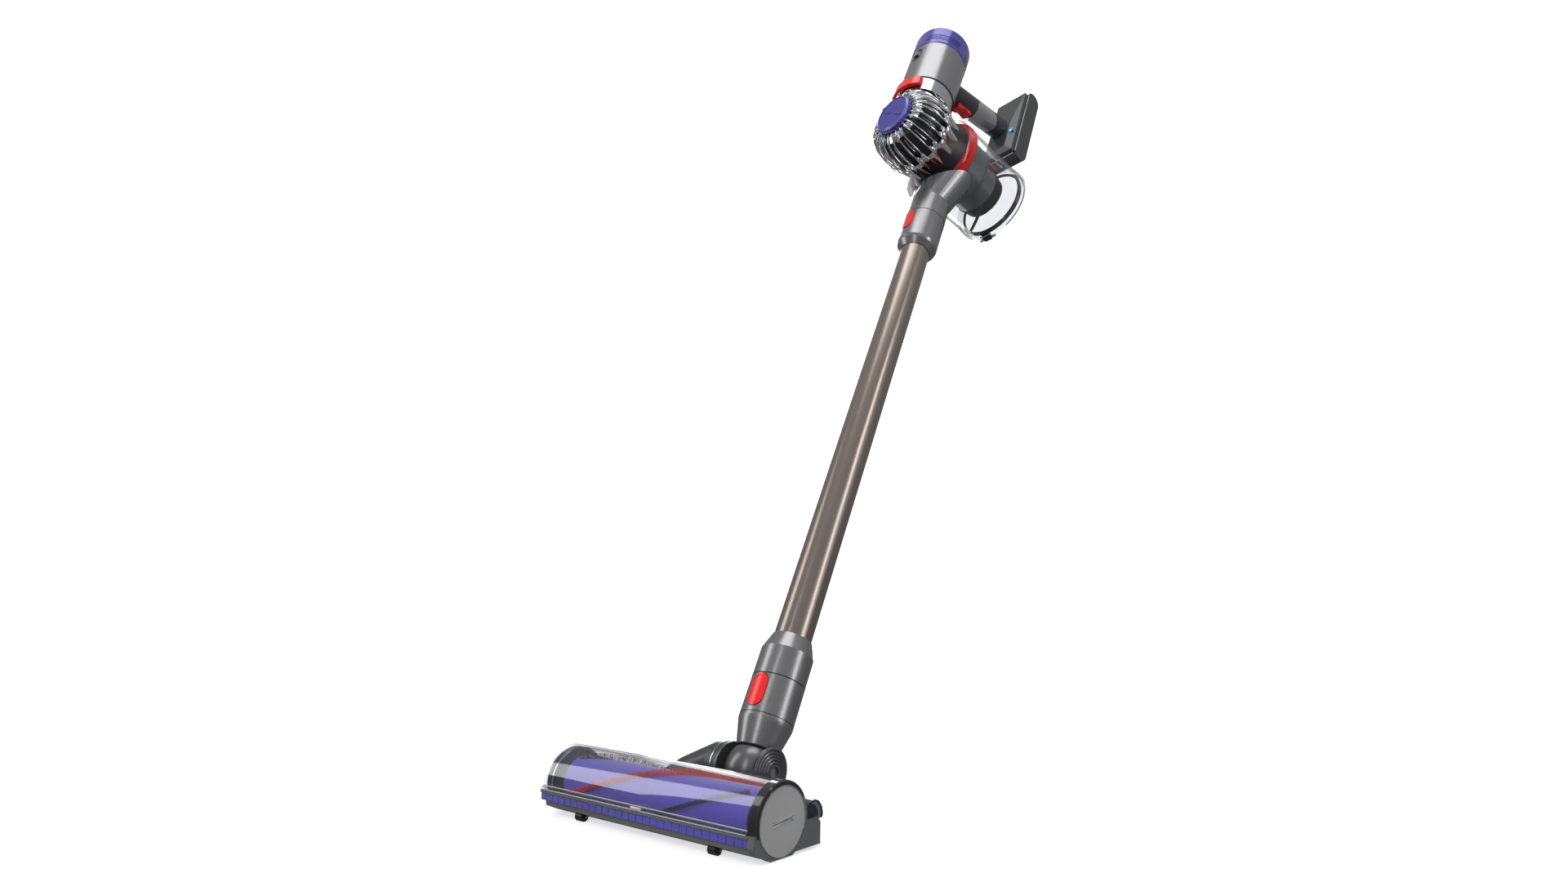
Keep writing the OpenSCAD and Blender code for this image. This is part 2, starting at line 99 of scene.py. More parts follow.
GRIP_Z = Vector(MOUNTS["handle_grip"]["axis"])
GRIP_AT = 45 * MM
GRIP = axes(Vector(MOUNTS["handle_grip"]["pos_m"]) - GRIP_AT * GRIP_Z, RIGHT, GRIP_Z.cross(RIGHT), GRIP_Z)
MOTOR = axes(joint_pos("filter_cap_twist"), RIGHT, BACK, WAND_UP)
BRUSH = axes(joint_pos("brush_spin"), Vector((0, 1, 0)), Vector((0, 0, 1)), Vector((1, 0, 0)))
PIVOT = axes(ELBOW, Vector((0, 1, 0)), Vector((0, 0, 1)), Vector((1, 0, 0)))
FLOOR = Matrix.Identity(4)


# ------------------------------------------------------------ materials
def node(tree, kind, **values):
    n = tree.nodes.new(kind)
    for key, value in values.items():
        setattr(n, key, value)
    return n


def material(name, color, rough, metallic=0.0, speckle=0.0, vary=0.06, grain=900, coat=0.0, streak=None,
             sheen=0.0, emission=None):
    """A plastic, metal or cloth whose colour and roughness wander a little, with a fine bump.
    streak is a direction along which the grain is stretched, as on brushed or drawn metal."""
    m = bpy.data.materials.new(name)
    m.use_nodes = True
    t = m.node_tree
    p = t.nodes["Principled BSDF"]
    place = node(t, "ShaderNodeTexCoord").outputs["Object"]
    if streak is not None:
        mapping = node(t, "ShaderNodeMapping", vector_type="TEXTURE")
        mapping.inputs["Rotation"].default_value = streak.to_track_quat("Z", "Y").to_euler()
        mapping.inputs["Scale"].default_value = (1, 1, 40)
        t.links.new(place, mapping.inputs["Vector"])
        place = mapping.outputs["Vector"]
    broad = node(t, "ShaderNodeTexNoise")
    broad.inputs["Scale"].default_value = 18
    broad.inputs["Detail"].default_value = 5
    fine = node(t, "ShaderNodeTexNoise")
    fine.inputs["Scale"].default_value = grain
    fine.inputs["Detail"].default_value = 3
    for n in (broad, fine):
        t.links.new(place, n.inputs["Vector"])
    ramp = node(t, "ShaderNodeValToRGB")
    low = [c * (1 - vary) for c in color]
    high = [min(1, c * (1 + vary)) for c in color]
    ramp.color_ramp.elements[0].position, ramp.color_ramp.elements[1].position = 0.3, 0.7
    ramp.color_ramp.elements[0].color = (*low, 1)
    ramp.color_ramp.elements[1].color = (*high, 1)
    mix = node(t, "ShaderNodeMath", operation="MULTIPLY_ADD")
    mix.inputs[1].default_value = 0.35
    t.links.new(fine.outputs["Fac"], mix.inputs[0])
    scaled = node(t, "ShaderNodeMath", operation="MULTIPLY")
    scaled.inputs[1].default_value = 0.65
    t.links.new(broad.outputs["Fac"], scaled.inputs[0])
    t.links.new(scaled.outputs[0], mix.inputs[2])
    t.links.new(mix.outputs[0], ramp.inputs["Fac"])
    t.links.new(ramp.outputs["Color"], p.inputs["Base Color"])
    spread = node(t, "ShaderNodeMapRange")
    spread.inputs["To Min"].default_value = rough * 0.82
    spread.inputs["To Max"].default_value = min(1, rough * 1.2)
    t.links.new(broad.outputs["Fac"], spread.inputs["Value"])
    t.links.new(spread.outputs["Result"], p.inputs["Roughness"])
    if speckle:
        bump = node(t, "ShaderNodeBump")
        bump.inputs["Strength"].default_value = speckle
        bump.inputs["Distance"].default_value = 0.0003
        t.links.new(fine.outputs["Fac"], bump.inputs["Height"])
        t.links.new(bump.outputs["Normal"], p.inputs["Normal"])
    p.inputs["Metallic"].default_value = metallic
    p.inputs["Coat Weight"].default_value = coat
    p.inputs["Coat Roughness"].default_value = 0.08
    p.inputs["Sheen Weight"].default_value = sheen
    if emission:
        p.inputs["Emission Color"].default_value = (*color, 1)
        p.inputs["Emission Strength"].default_value = emission
    return m


def clear(name, tint, edge, gloss, rough=0.03):
    """Thin clear plastic: light goes straight through, and it darkens and mirrors where it is seen edge on."""
    m = bpy.data.materials.new(name)
    m.use_nodes = True
    t = m.node_tree
    p = t.nodes["Principled BSDF"]
    p.inputs["Base Color"].default_value = (0.95, 0.96, 0.97, 1)
    p.inputs["Metallic"].default_value = 1.0
    place = node(t, "ShaderNodeTexCoord").outputs["Object"]
    ripple = node(t, "ShaderNodeTexNoise")
    ripple.inputs["Scale"].default_value = 55
    t.links.new(place, ripple.inputs["Vector"])
    spread = node(t, "ShaderNodeMapRange")
    spread.inputs["To Min"].default_value = rough * 0.5
    spread.inputs["To Max"].default_value = rough * 1.8
    t.links.new(ripple.outputs["Fac"], spread.inputs["Value"])
    t.links.new(spread.outputs["Result"], p.inputs["Roughness"])
    bump = node(t, "ShaderNodeBump")
    bump.inputs["Strength"].default_value = 0.004
    bump.inputs["Distance"].default_value = 0.0005
    t.links.new(ripple.outputs["Fac"], bump.inputs["Height"])
    t.links.new(bump.outputs["Normal"], p.inputs["Normal"])
    through = node(t, "ShaderNodeBsdfTransparent")
    facing = node(t, "ShaderNodeLayerWeight")
    facing.inputs["Blend"].default_value = 0.5
    shade = node(t, "ShaderNodeValToRGB")
    shade.color_ramp.elements[0].position, shade.color_ramp.elements[1].position = 0.7, 1.0
    shade.color_ramp.elements[0].color, shade.color_ramp.elements[1].color = (*tint, 1), (*edge, 1)
    t.links.new(facing.outputs["Facing"], shade.inputs["Fac"])
    t.links.new(shade.outputs["Color"], through.inputs["Color"])
    mirror = node(t, "ShaderNodeValToRGB")
    steps = mirror.color_ramp.elements
    steps[0].position, steps[1].position = 0.0, 1.0
    steps[0].color, steps[1].color = (gloss, gloss, gloss, 1), (0.75, 0.75, 0.75, 1)
    for at, much in ((0.6, gloss * 1.6), (0.88, 0.3)):
        steps.new(at).color = (much, much, much, 1)
    t.links.new(facing.outputs["Facing"], mirror.inputs["Fac"])
    mix = node(t, "ShaderNodeMixShader")
    t.links.new(mirror.outputs["Color"], mix.inputs[0])
    t.links.new(through.outputs[0], mix.inputs[1])
    t.links.new(p.outputs[0], mix.inputs[2])
    t.links.new(mix.outputs[0], t.nodes["Material Output"].inputs["Surface"])
    return m


def weave(name, color, rough, scale):
    """Short woven pile, as on the soft sleeve of the brush bar."""
    m = material(name, color, rough, speckle=0.6, vary=0.25, grain=1600, sheen=0.5)
    t = m.node_tree
    p = t.nodes["Principled BSDF"]
    place = node(t, "ShaderNodeTexCoord").outputs["Object"]
    threads = []
    for direction in ("X", "Z"):
        wave = node(t, "ShaderNodeTexWave", bands_direction=direction)
        wave.inputs["Scale"].default_value = scale
        wave.inputs["Distortion"].default_value = 1.5
        t.links.new(place, wave.inputs["Vector"])
        threads.append(wave.outputs["Fac"])
    both = node(t, "ShaderNodeMath", operation="MULTIPLY")
    t.links.new(threads[0], both.inputs[0])
    t.links.new(threads[1], both.inputs[1])
    bump = node(t, "ShaderNodeBump")
    bump.inputs["Strength"].default_value = 0.5
    bump.inputs["Distance"].default_value = 0.0004
    t.links.new(both.outputs[0], bump.inputs["Height"])
    t.links.new(bump.outputs["Normal"], p.inputs["Normal"])
    return m


GREY = material("grey_metallic", (0.34, 0.34, 0.35), 0.27, 0.9, speckle=0.10, grain=2600, coat=0.2,
                streak=WAND_UP)
GREY_BRIGHT = material("grey_bright", (0.56, 0.56, 0.57), 0.24, 0.85, speckle=0.08, grain=2600, coat=0.3)
# the next grey is the grey metallic painted darker as shade, for the elbow and pivot parts
GREY_SHADED = material("grey_painted_shade", (0.2, 0.2, 0.205), 0.27, 0.9, speckle=0.12, grain=2600, coat=0.2)
SHROUD = material("shroud_metallic", (0.24, 0.24, 0.245), 0.33, 0.85, speckle=0.2, grain=2200)
SILVER = material("silver_satin", (0.5, 0.5, 0.5), 0.36, 0.3, speckle=0.2, grain=2600)
MID_GREY = material("mid_grey", (0.2, 0.205, 0.205), 0.38, 0.5, speckle=0.25, grain=2400)
SLATE = material("slate_grey", (0.075, 0.078, 0.08), 0.33, 0.55, speckle=0.18, grain=2200, coat=0.15)
BLACK = material("black_plastic", (0.012, 0.012, 0.014), 0.3, speckle=0.15, grain=1800)
GLOSS_BLACK = material("black_gloss", (0.01, 0.01, 0.012), 0.08, speckle=0.03, grain=900, coat=0.8)
RUBBER = material("black_rubber", (0.016, 0.016, 0.017), 0.55, speckle=0.4, grain=1500)
VIOLET = material("violet_gloss", (0.062, 0.052, 0.36), 0.2, 0.3, speckle=0.05, coat=0.6, grain=1500)
LAVENDER = material("lavender_satin", (0.16, 0.14, 0.5), 0.3, 0.3, speckle=0.1, coat=0.4)
VIOLET_SOFT = weave("violet_strip", (0.05, 0.036, 0.33), 0.6, 300)
SLEEVE = weave("violet_sleeve", (0.07, 0.04, 0.46), 0.55, 420)
RED = material("red_gloss", (0.8, 0.012, 0.009), 0.2, speckle=0.04, coat=0.5, grain=1400)
RED_DEEP = material("red_translucent", (0.6, 0.012, 0.01), 0.14, speckle=0.03, coat=0.8, grain=1400)
RED_FIBRE = material("red_fibre", (0.85, 0.022, 0.014), 0.45, speckle=0.3, vary=0.35, grain=700)
CARBON = material("carbon_fibre", (0.02, 0.02, 0.022), 0.4, speckle=0.3, vary=0.4, grain=700)
CHROME = material("chromed", (0.86, 0.87, 0.89), 0.06, 1.0, speckle=0.02, vary=0.02, grain=500)
CHROME_SOFT = material("chrome_satin", (0.62, 0.63, 0.65), 0.16, 1.0, speckle=0.05, vary=0.03, streak=WAND_UP)
CHAMPAGNE = material("wand_metal", (0.42, 0.36, 0.31), 0.25, 1.0, speckle=0.10, vary=0.03, grain=900,
                     streak=WAND_UP)
STEEL = material("steel", (0.5, 0.5, 0.5), 0.28, 1.0, speckle=0.15)
CLEAR = clear("clear_plastic", (0.96, 0.965, 0.98), (0.6, 0.6, 0.63), 0.07)
BIN_CLEAR = clear("clear_bin", (0.95, 0.955, 0.96), (0.5, 0.51, 0.53), 0.05)
SMOKED = clear("smoked_plastic", (0.25, 0.27, 0.3), (0.04, 0.045, 0.055), 0.08, 0.06)
FELT = material("filter_felt", (0.75, 0.75, 0.74), 0.9, speckle=0.8, vary=0.1, grain=900, sheen=0.3)
LIGHT = material("light_lens", (0.1, 0.55, 1.0), 0.2, emission=3.0, vary=0.1)
GLOW = material("light_glow", (0.05, 0.3, 0.62), 0.3, emission=0.35, vary=0.3)
# the next material is a painted highlight: pale opaque bars that stand for bright edge lines on clear plastic
# and slots
EDGE_HIGHLIGHT = material("painted_edge_highlight", (0.5, 0.51, 0.53), 0.14, 0.3, speckle=0.03, grain=400, coat=0.6)

FINISH = {
    GREY: "neck neck_cuff wand_lower_collar wand_upper_collar inlet_duct motor_housing",
    GREY_SHADED: "elbow pivot_cap",
    SHROUD: "shroud",
    SILVER: "end_cap",
    MID_GREY: "right_end_plate left_end_plate rear_housing bumper sole_plate",
    SLATE: "pivot_duct pivot_bracket handle battery_dock battery_pack brush_motor motor",
    BLACK: "door_hinge wand_wires front_rollers rear_wheels",
    RUBBER: "shroud_skirt bin_seal",
    VIOLET: "filter_cap prefilter_cap",
    VIOLET_SOFT: "soft_strip",
    SLEEVE: "brush_core",
    RED: "head_button wand_button release_tab trigger",
    RED_DEEP: "cyclone_collar release_rod",
    RED_FIBRE: "red_bristles",
    CARBON: "black_bristles",
    CHROME: "cyclone_pack",
    CHROME_SOFT: "motor_bucket power_slider",
    CHAMPAGNE: "wand_tube impeller drive_dog",
    STEEL: "axles brush_bearing pivot_pin door_hinge_pin screws head_button_spring wand_button_spring",
    CLEAR: "clear_cover",
    BIN_CLEAR: "bin_shell bin_door",
    SMOKED: "rear_window",
    FELT: "prefilter postfilter",
    LIGHT: "charge_light",
}
for finish, names in FINISH.items():
    for name in names.split():
        NODES[name].data.materials.clear()
        NODES[name].data.materials.append(finish)


# ------------------------------------------------------------ mesh helpers
def piece(name, bm, frame_matrix, finish, body, slot, replaces=(), bevel=0.0, smooth=35):
    """Makes an object from a bmesh in millimetres in a local frame, and lets it ride on a body."""
    bmesh.ops.remove_doubles(bm, verts=bm.verts, dist=0.001)
    bmesh.ops.recalc_face_normals(bm, faces=bm.faces)
    mesh = bpy.data.meshes.new(name)
    bm.to_mesh(mesh)
    bm.free()
    mesh.transform(frame_matrix @ Matrix.Scale(MM, 4))
    mesh.materials.append(finish)
    ob = bpy.data.objects.new(name, mesh)
    bpy.context.scene.collection.objects.link(ob)
    if bevel:
        mod = ob.modifiers.new("edges", "BEVEL")
        mod.width, mod.segments, mod.limit_method, mod.angle_limit = bevel * MM, 2, "ANGLE", math.radians(30)
    mesh.shade_smooth()
    mesh.set_sharp_from_angle(angle=math.radians(smooth))
    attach(ob, body)
    if replaces:
        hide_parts(*replaces)
    return ob


def lathe(bm, outline, start=0.0, end=360.0, steps=96):
    """Turns a closed outline of (radius, height) points about local z, from start to end degrees."""
    full = end - start >= 360
    rings = []
    for i in range(steps if full else steps + 1):
        a = math.radians(start + (end - start) * i / steps)
        rings.append([bm.verts.new(Vector((r * math.cos(a), r * math.sin(a), z))) for r, z in outline])
    n = len(outline)
    for i in range(steps):
        one, two = rings[i], rings[(i + 1) % len(rings)]
        for k in range(n):
            bm.faces.new((one[k], one[(k + 1) % n], two[(k + 1) % n], two[k]))
    if not full:
        bm.faces.new(rings[0])
        bm.faces.new(list(reversed(rings[-1])))


def loft(bm, loops, closed=True):
    """Joins closed loops of points into a skin with flat ends."""
    made = [[bm.verts.new(p) for p in loop] for loop in loops]
    n = len(made[0])
    for one, two in zip(made, made[1:]):
        for k in range(n):
            bm.faces.new((one[k], one[(k + 1) % n], two[(k + 1) % n], two[k]))
    if closed:
        bm.faces.new(made[0])
        bm.faces.new(list(reversed(made[-1])))


def turn_z(angle):
    return Matrix.Rotation(math.radians(angle), 4, "Z")


def strip_along(bm, path, width, depth, spin):
    """A bar of rounded section that follows (radius, height) points, turned by spin degrees about local z."""
    loops = []
    for i, (r, z) in enumerate(path):
        before, after = path[max(0, i - 1)], path[min(len(path) - 1, i + 1)]
        along = Vector((after[0] - before[0], 0, after[1] - before[1])).normalized()
        out = Vector((-along.z, 0, along.x))
        if out.x * r < 0:
            out = -out
        centre = Vector((r, 0, z))
        section = [(0.5, 0.25), (0.3, 0.5), (-0.3, 0.5), (-0.5, 0.25), (-0.5, -0.5), (0.5, -0.5)]
        loops.append([turn_z(spin) @ (centre + Vector((0, width * a, 0)) + out * depth * b)
                      for a, b in section])
    loft(bm, loops)


def curve_points(points, steps):
    """A smooth run of points through a few (radius, height) points."""
    out = []
    for i in range(len(points) - 1):
        p0, p1 = points[max(0, i - 1)], points[i]
        p2, p3 = points[i + 1], points[min(len(points) - 1, i + 2)]
        for s in range(steps):
            t = s / steps
            out.append(tuple(
                0.5 * (2 * b + (c - a) * t + (2 * a - 5 * b + 4 * c - d) * t * t
                       + (3 * b - a - 3 * c + d) * t ** 3)
                for a, b, c, d in zip(p0, p1, p2, p3)))
    out.append(points[-1])
    return out


def add_turned(bm, outline, steps, matrix):
    """Adds one turned part to a larger mesh, moved by a matrix."""
    part = bmesh.new()
    lathe(part, outline, steps=steps)
    part.transform(matrix)
    scratch = bpy.data.meshes.new("part")
    part.to_mesh(scratch)
    part.free()
    bm.from_mesh(scratch)
    bpy.data.meshes.remove(scratch)


# ------------------------------------------------------------ cyclones
CONES = 15
CONE_LEAN = -2                   # degrees
CONE_PLACE = (42.5, 0, -50)
CONE = [(8.6, -2), (9.4, 0), (9.4, 4), (8.4, 6), (5.6, 20), (3.7, 31), (3.9, 33), (3.0, 36),
        (0.6, 36), (0.6, -2)]
BOSS_PLACE = (37, 0, -98)
BOSS = [(1.6, -3), (3.4, -3), (4.0, -2.2), (4.0, 9), (1.6, 9)]
WINDOW_HALF = 5.6                # degrees from an arch to the middle of its pair
DOME = [(25.5, -97), (33, -99.5), (42, -95), (48.5, -84), (51, -70), (50.5, -57)]


def cyclone_ring():
    """Polished arches over dark windows, lugs at the shoulder, and cones that point at the collar."""
    core = bmesh.new()
    outside = [(r - 4.5, z + 1.5) for r, z in curve_points(DOME, 4)]
    inside = [(46, -44), (46.5, -22), (50.6, -11.4), (50.6, -10.7), (24.4, -10.7), (24.4, -92.5)]
    lathe(core, outside + inside, steps=90)
    piece("cyclone_core", core, BIN, BLACK, "handheld", "chromed", replaces=["cyclone_pack"])
    arches = bmesh.new()
    lugs = bmesh.new()
    cones = bmesh.new()
    step = 360 / CONES
    for k in range(CONES):
        middle = k * step
        path = curve_points(DOME, 5)
        strip_along(arches, path, 2.0, 3.2, middle - WINDOW_HALF)
        strip_along(arches, path, 2.0, 3.2, middle + WINDOW_HALF)
        strip_along(arches, curve_points([(26, -96), (34, -97.5), (41, -93)], 4), 10.5, 2.6, middle)
        ridge = curve_points([(44, -88), (47.5, -80), (49, -68)], 4)
        strip_along(arches, ridge, 1.1, 1.6, middle)
        for side in (-1, 1):
            strip_along(lugs, [(50, -60), (51.5, -58), (51.5, -50), (49.5, -46.5)], 5.2, 4.5,
                        middle + side * 4.4)
        strip_along(lugs, [(49, -56), (50.2, -54), (50.2, -50), (48.5, -48)], 5.5, 3.6, middle)
        lean = Matrix.Rotation(math.radians(CONE_LEAN), 4, "Y")
        cone_at = turn_z(middle + step / 2) @ Matrix.Translation(CONE_PLACE) @ lean
        add_turned(cones, CONE, 20, cone_at)
    piece("cyclone_arches", arches, BIN, CHROME, "handheld", "chromed", bevel=0.35)
    piece("cyclone_lugs", lugs, BIN, CHROME, "handheld", "chromed", bevel=0.8)
    piece("cyclone_cones", cones, BIN, CHROME, "handheld", "chromed", smooth=50)
    bosses = bmesh.new()
    for k in range(0, CONES, 3):
        add_turned(bosses, BOSS, 24, turn_z(k * step + step / 2) @ Matrix.Translation(BOSS_PLACE))
    piece("cyclone_bosses", bosses, BIN, CHROME, "handheld", "chromed")


cyclone_ring()


# ------------------------------------------------------------ brush bar
def tufts(name, node_name, finish, rows, spacing, thick, spread, seed):
    """Rows of bristles along the helix of a CAD strip, found from the strip's own vertices."""
    rng = random.Random(seed)
    centre = BRUSH.inverted()
    mesh = NODES[node_name].data
    points = [centre @ v.co for v in mesh.vertices]
    inner = min(math.hypot(p.x, p.y) for p in points) / MM
    outer = max(math.hypot(p.x, p.y) for p in points) / MM
    low = min(p.z for p in points) / MM
    high = max(p.z for p in points) / MM
    start = [p for p in points if p.z / MM < low + 0.5]
    strips = []
    for p in start:
        a = math.atan2(p.y, p.x)
        if all(abs(math.remainder(a - s, 2 * math.pi)) > 0.5 for s in strips):
            strips.append(a)
    # each start holds both edges of the strip, so take the middle of its cluster
    heads = []
    for s in strips:
        near = [math.remainder(math.atan2(p.y, p.x) - s, 2 * math.pi) for p in start
                if abs(math.remainder(math.atan2(p.y, p.x) - s, 2 * math.pi)) < 0.5]
        heads.append(s + (min(near) + max(near)) / 2)
    end = [p for p in points if p.z / MM > high - 0.5]
    turn = None
    for guess in (-1, 1):
        a = heads[0] + guess * TWIST * (high - low)
        if any(abs(math.remainder(math.atan2(p.y, p.x) - a, 2 * math.pi)) < 0.12 for p in end):
            turn = guess
            break
    turn = turn or -1
    bm = bmesh.new()
    count = int((high - low) / spacing)
    for head in heads:
        for i in range(count):
            z = low + 0.8 + (high - low - 1.6) * i / count
            for row in range(rows):
                a = head + turn * TWIST * (z - low) + (row - (rows - 1) / 2) * spread / inner
                a += rng.uniform(-0.2, 0.2) * spread / inner
                tip = a + rng.uniform(-1, 1) * 0.9 / outer
                zt = z + rng.uniform(-0.7, 0.7)
                r = outer - rng.uniform(0, 0.7)
                foot = Vector((inner * math.cos(a), inner * math.sin(a), z))
                top = Vector((r * math.cos(tip), r * math.sin(tip), zt))
                side = Vector((-math.sin(a), math.cos(a), 0)) * thick
                along = Vector((0, 0, thick))
                base = [foot + side, foot + along, foot - side, foot - along]
                verts = [bm.verts.new(p) for p in base]
                ends = [bm.verts.new(top + (p - foot) * 0.55) for p in base]
                for k in range(4):
                    bm.faces.new((verts[k], verts[(k + 1) % 4], ends[(k + 1) % 4], ends[k]))
                bm.faces.new(ends)
                bm.faces.new(list(reversed(verts)))
    mesh = bpy.data.meshes.new(name)
    bm.to_mesh(mesh)
    bm.free()
    mesh.transform(BRUSH @ Matrix.Scale(MM, 4))
    mesh.materials.append(finish)
    ob = bpy.data.objects.new(name, mesh)
    bpy.context.scene.collection.objects.link(ob)
    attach(ob, "brush_bar")
    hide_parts(node_name)


TWIST = 2 * math.pi / 432        # radians a millimetre along the bar
tufts("red_tufts", "red_bristles", RED_FIBRE, 4, 1.1, 0.28, 0.9, 3)
tufts("carbon_filaments", "black_bristles", CARBON, 3, 0.8, 0.2, 0.9, 4)


# ------------------------------------------------------------ small shapes
def bar(bm, points, width, height, up=Vector((0, 0, 1))):
    """A rounded bar of the given width and height along 3-D points."""
    points = [Vector(p) for p in points]
    loops = []
    for i, p in enumerate(points):
        along = (points[min(i + 1, len(points) - 1)] - points[max(i - 1, 0)]).normalized()
        side = along.cross(up).normalized()
        rise = side.cross(along).normalized()
        loop = []
        for k in range(12):
            a = 2 * math.pi * k / 12
            c, d = math.cos(a), math.sin(a)
            loop.append(p + side * width / 2 * math.copysign(abs(c) ** 0.6, c)
                        + rise * height / 2 * math.copysign(abs(d) ** 0.6, d))
        loops.append(loop)
    loft(bm, loops)


def ring(name, matrix, outline, finish, body, slot, start=0.0, end=360.0, steps=96, **more):
    bm = bmesh.new()
    lathe(bm, outline, start, end, steps)
    return piece(name, bm, matrix, finish, body, slot, **more)


def corners(name):
    lo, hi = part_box(name)
    return Vector(lo) / MM, Vector(hi) / MM


# ------------------------------------------------------------ floor head
def head_details():
    lo, hi = corners("clear_cover")
    end_lo, end_hi = corners("right_end_plate")
    cap_hi = corners("end_cap")[1]
    left, right = lo.x, hi.x
    flange_y, flange_z = lo.y, lo.z
    # the cover's front flange: two ridges coloured as painted highlights with a painted dark line between, and
    # a clip at its middle in the same painted highlight colour
    for name, y, z, w, h, finish in (
            ("cover_lip_low_highlight", flange_y - 0.3, flange_z + 0.3, 1.0, 0.9, EDGE_HIGHLIGHT),
            ("cover_lip_painted_line", flange_y + 0.9, flange_z + 1.9, 0.9, 0.7, GLOSS_BLACK),
            ("cover_lip_high_highlight", flange_y + 2.2, flange_z + 2.9, 1.1, 0.9, EDGE_HIGHLIGHT)):
        bm = bmesh.new()
        bar(bm, [(left + 1, y, z), (0, y, z), (right - 1, y, z)], w, h)
        piece(name, bm, FLOOR, finish, "floor_head", "clear")
    bm = bmesh.new()
    bar(bm, [(-6, flange_y - 0.1, flange_z + 1.4), (0, flange_y - 0.6, flange_z + 1.6),
             (6, flange_y - 0.1, flange_z + 1.4)], 1.6, 2.6)
    piece("cover_clip", bm, FLOOR, EDGE_HIGHLIGHT, "floor_head", "clear")
    # arcs that frame the brush window at both ends
    at_x = end_hi.x
    ring("end_arc", BRUSH, [(24.9, at_x - 0.2), (25.0, at_x + 0.35), (27.6, at_x + 0.35), (28.6, at_x - 0.5),
                            (28.7, end_lo.x - 2), (28.1, end_lo.x - 2), (28.1, at_x - 0.2)],
         GLOSS_BLACK, "floor_head", "mid_grey", start=32, end=196)
    ring("end_arc_trim", BRUSH, [(24.4, at_x + 0.2), (24.5, at_x + 0.8), (25.2, at_x + 0.8),
                                 (25.3, at_x + 0.2)],
         CHROME, "floor_head", "chromed", start=-20, end=215)
    ring("cover_end_right", BRUSH, [(24.8, end_lo.x - 4.6), (26.3, end_lo.x - 4.6), (26.3, end_lo.x - 1.2),
                                    (24.8, end_lo.x - 1.2)],
         GLOSS_BLACK, "floor_head", "mid_grey", start=20, end=200)
    ring("cover_end_left", BRUSH, [(23.2, left + 3.4), (26.2, left + 3.4), (26.2, left + 6.4),
                                   (24.6, left + 8.4), (23.2, left + 8.4)],
         GLOSS_BLACK, "floor_head", "mid_grey", start=20, end=200)
    ring("cover_rim_left", BRUSH, [(25.0, left + 9.2), (26.3, left + 9.2), (26.3, left + 10.4),
                                   (25.0, left + 10.4)],
         CHROME, "floor_head", "chromed", start=20, end=200)
    # two bars that frame the coin slot of the end cap, coloured as painted highlights along its edges
    bm = bmesh.new()
    x = cap_hi.x + 0.1
    slope = math.radians(8)
    for s in (-1, 1):
        a = Vector((x, -11.6 * math.cos(slope), 26.3 - 11.6 * math.sin(slope) + s * 1.25))
        b = Vector((x, 11.6 * math.cos(slope), 26.3 + 11.6 * math.sin(slope) + s * 1.25))
        bar(bm, [a, (a + b) / 2, b], 0.8, 0.7, up=Vector((1, 0, 0)))
    piece("slot_edge_highlights", bm, FLOOR, EDGE_HIGHLIGHT, "end_cap", "mid_grey")
    # dark piping round the smoked window
    w_lo, w_hi = corners("rear_window")
    bm = bmesh.new()
    x = w_hi.x + 0.2
    edge = [(w_lo.y + 1, 27.4), (38, 31.4), (44, 33.0), (48.7, 31.3), (52.3, 27), (53.6, 22), (52.7, 19)]
    bar(bm, [(x, y, z) for y, z in edge], 1.5, 1.1, up=Vector((1, 0, 0)))
    piece("window_piping", bm, FLOOR, GLOSS_BLACK, "floor_head", "smoked")


# ------------------------------------------------------------ elbow and neck
# millimetres up the wand from the elbow centre: name, height, width of the line, body
SEAMS = (("neck_seam", 43.7, 0.6, "neck"), ("cuff_seam", 80.0, 0.34, "neck"), ("bin_seam", 711.4, 0.34, "wand"))
# name, height of the button's centre, turn about the wand in degrees, body
BUTTON_LINES = (("head_button_line", 64, 12, "head_button"), ("wand_button_line", 695, -4, "wand_button"))
BUTTON_FACE = 26.65


def elbow_details():
    x0 = corners("pivot_cap")[0].x - ELBOW.x / MM
    outline = [(5.06, x0), (20.6, x0), (21.6, x0 + 0.8), (21.2, x0 + 1.6)]
    for k in range(5):
        r = 20.4 - 2.7 * k
        x = x0 + 1.9 + 0.85 * k
        outline += [(r, x), (r - 0.5, x + 0.75), (r - 1.7, x + 0.75), (r - 2.1, x + 0.1)]
    outline += [(7.2, x0 + 6.2), (5.06, x0 + 6.2)]
    ring("pivot_ribs", PIVOT, outline, GREY_SHADED, "floor_head", "mid_grey", replaces=["pivot_cap"], smooth=50)
    end = corners("pivot_duct")[1].x - ELBOW.x / MM
    ring("duct_band", PIVOT, [(19.9, end - 8.6), (20.7, end - 8.4), (20.7, end - 7.4), (19.9, end - 7.2)],
         CHROME_SOFT, "floor_head", "chromed")
    ring("duct_lip", PIVOT, [(19.6, end - 0.2), (21.0, end - 2.4), (21.4, end - 1.2), (21.0, end + 0.2)],
         GREY_SHADED, "floor_head", "dark_grey")
    for name, z, high, body in SEAMS:
        ring(name, WAND, [(25.4, z), (25.85, z), (25.85, z + high), (25.4, z + high)], BLACK, body,
             "black_plastic")
    for name, z, turn, body in BUTTON_LINES:
        bm = bmesh.new()
        loop = []
        for k in range(33):
            a = 2 * math.pi * k / 32
            across, up = 6.4 * math.cos(a), 6.4 * math.sin(a)
            up += math.copysign(7.0, up) if k not in (0, 16, 32) else 0
            ang = across / BUTTON_FACE
            loop.append(Vector((BUTTON_FACE * math.sin(ang), -BUTTON_FACE * math.cos(ang), z + up)))
        bar(bm, loop, 0.5, 0.35, up=Vector((0, -1, 0)))
        piece(name, bm, WAND @ turn_z(turn), RED_DEEP, body, "red_gloss")


